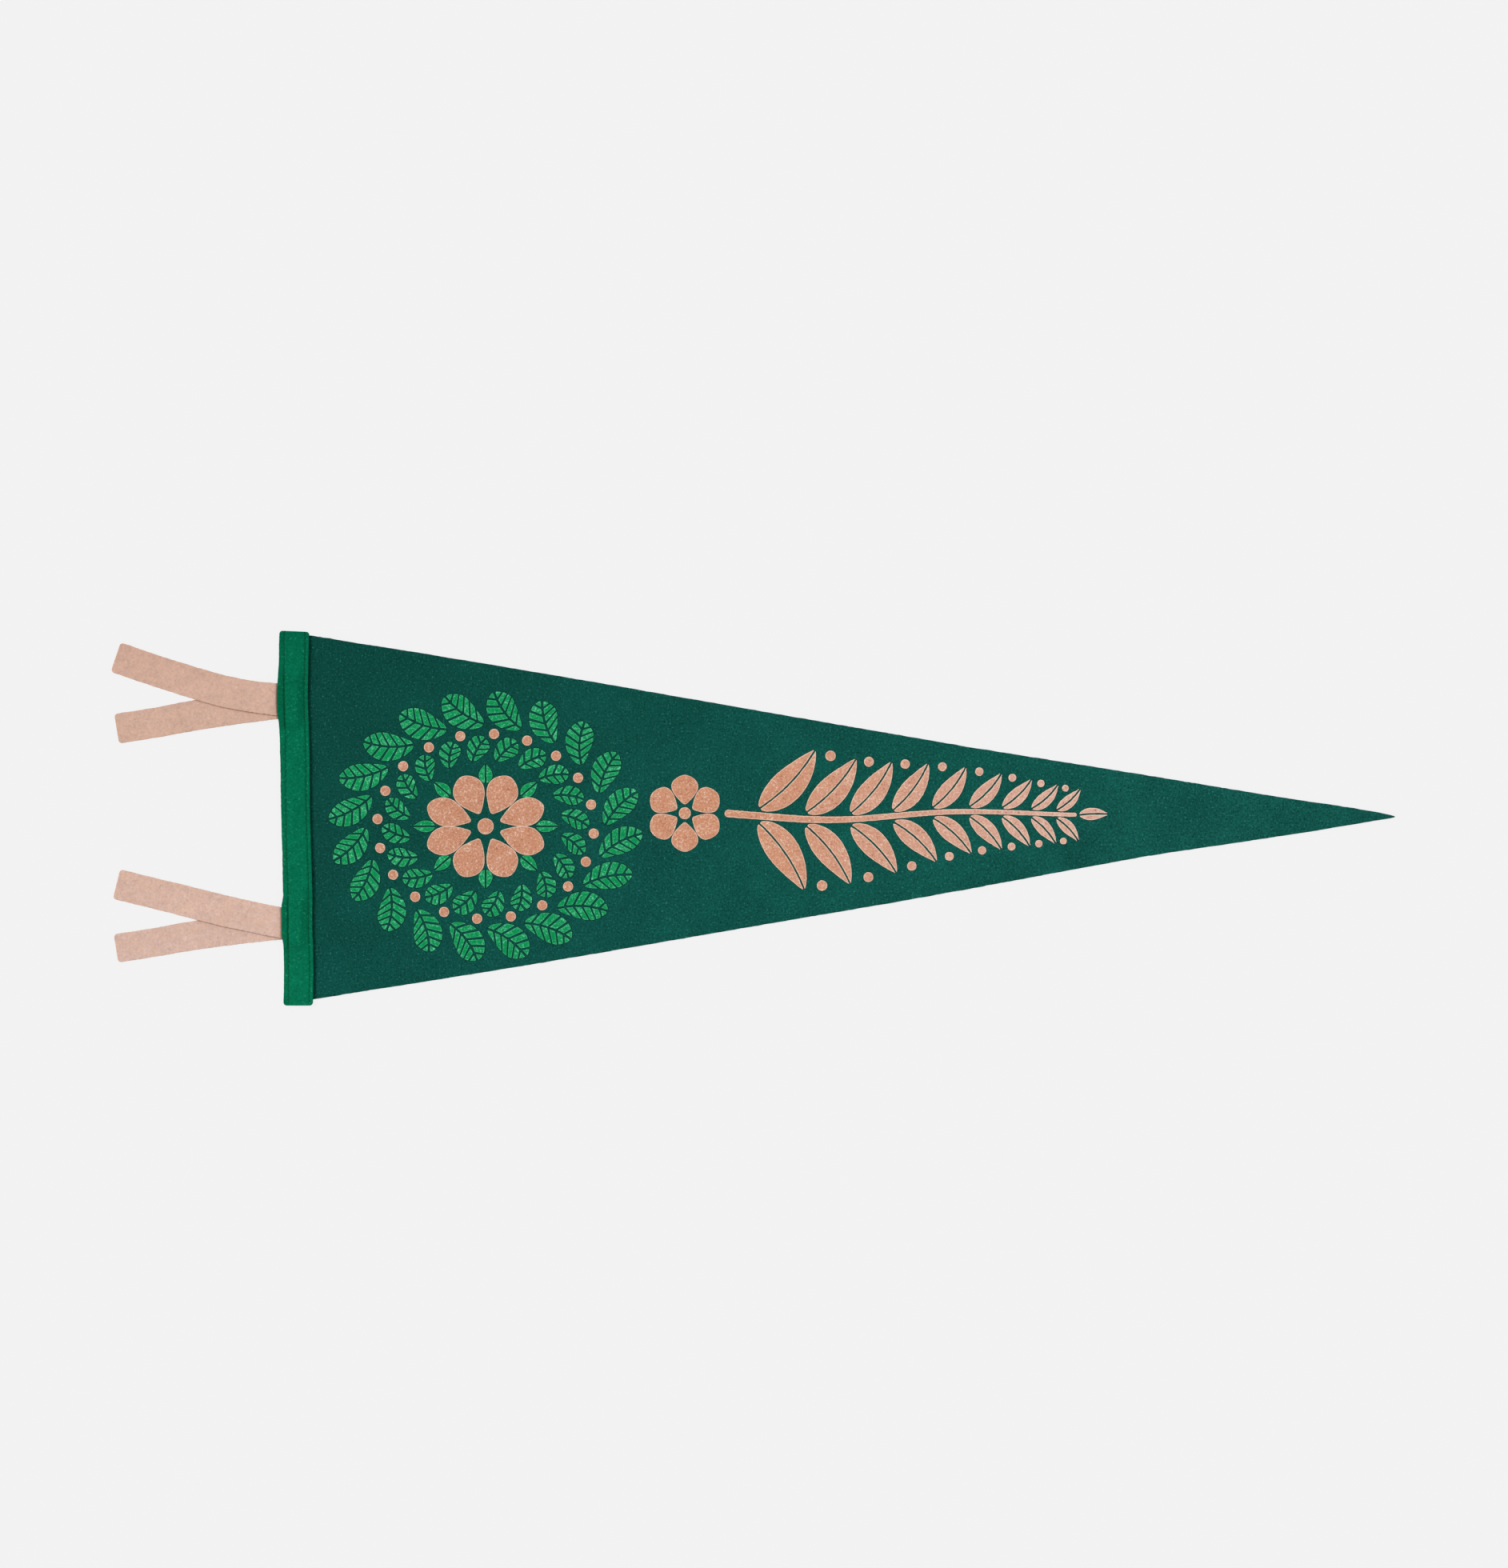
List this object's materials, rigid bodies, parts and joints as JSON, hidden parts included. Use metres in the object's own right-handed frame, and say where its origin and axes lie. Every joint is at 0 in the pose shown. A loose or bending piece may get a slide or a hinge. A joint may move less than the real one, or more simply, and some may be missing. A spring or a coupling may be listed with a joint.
{
  "type": "felt pennant flag with two folded ties",
  "caption": "Long triangular felt pennant lying face up, with a sewn heading strip over its straight edge and folded felt ties whose free tails spread from it.",
  "frame": {"origin": "centre of the whole part's box in plan, on the surface that the pennant lies on", "axes": "+X from the ties to the tip, +Y to the upper end of the heading, +Z out of the printed face"},
  "size_m": [0.7891, 0.2304, 0.0055],
  "materials": {
    "cloth_felt": "dark green pressed felt, matt, with printed flock motifs",
    "heading_felt": "bright green felt strip, matt, sewn with green thread",
    "tie_felt": "pale peach pressed felt, matt",
    "print_peach": "peach flock print, matt and grainy, slightly raised",
    "print_green": "bright green flock print, matt and grainy, slightly raised",
    "thread": "dark green spun sewing thread"
  },
  "bodies": {
    "root": {"pennant_cloth": "cloth_felt", "heading": "heading_felt", "tie_upper": "tie_felt", "tie_lower": "tie_felt"}
  },
  "joints": []
}
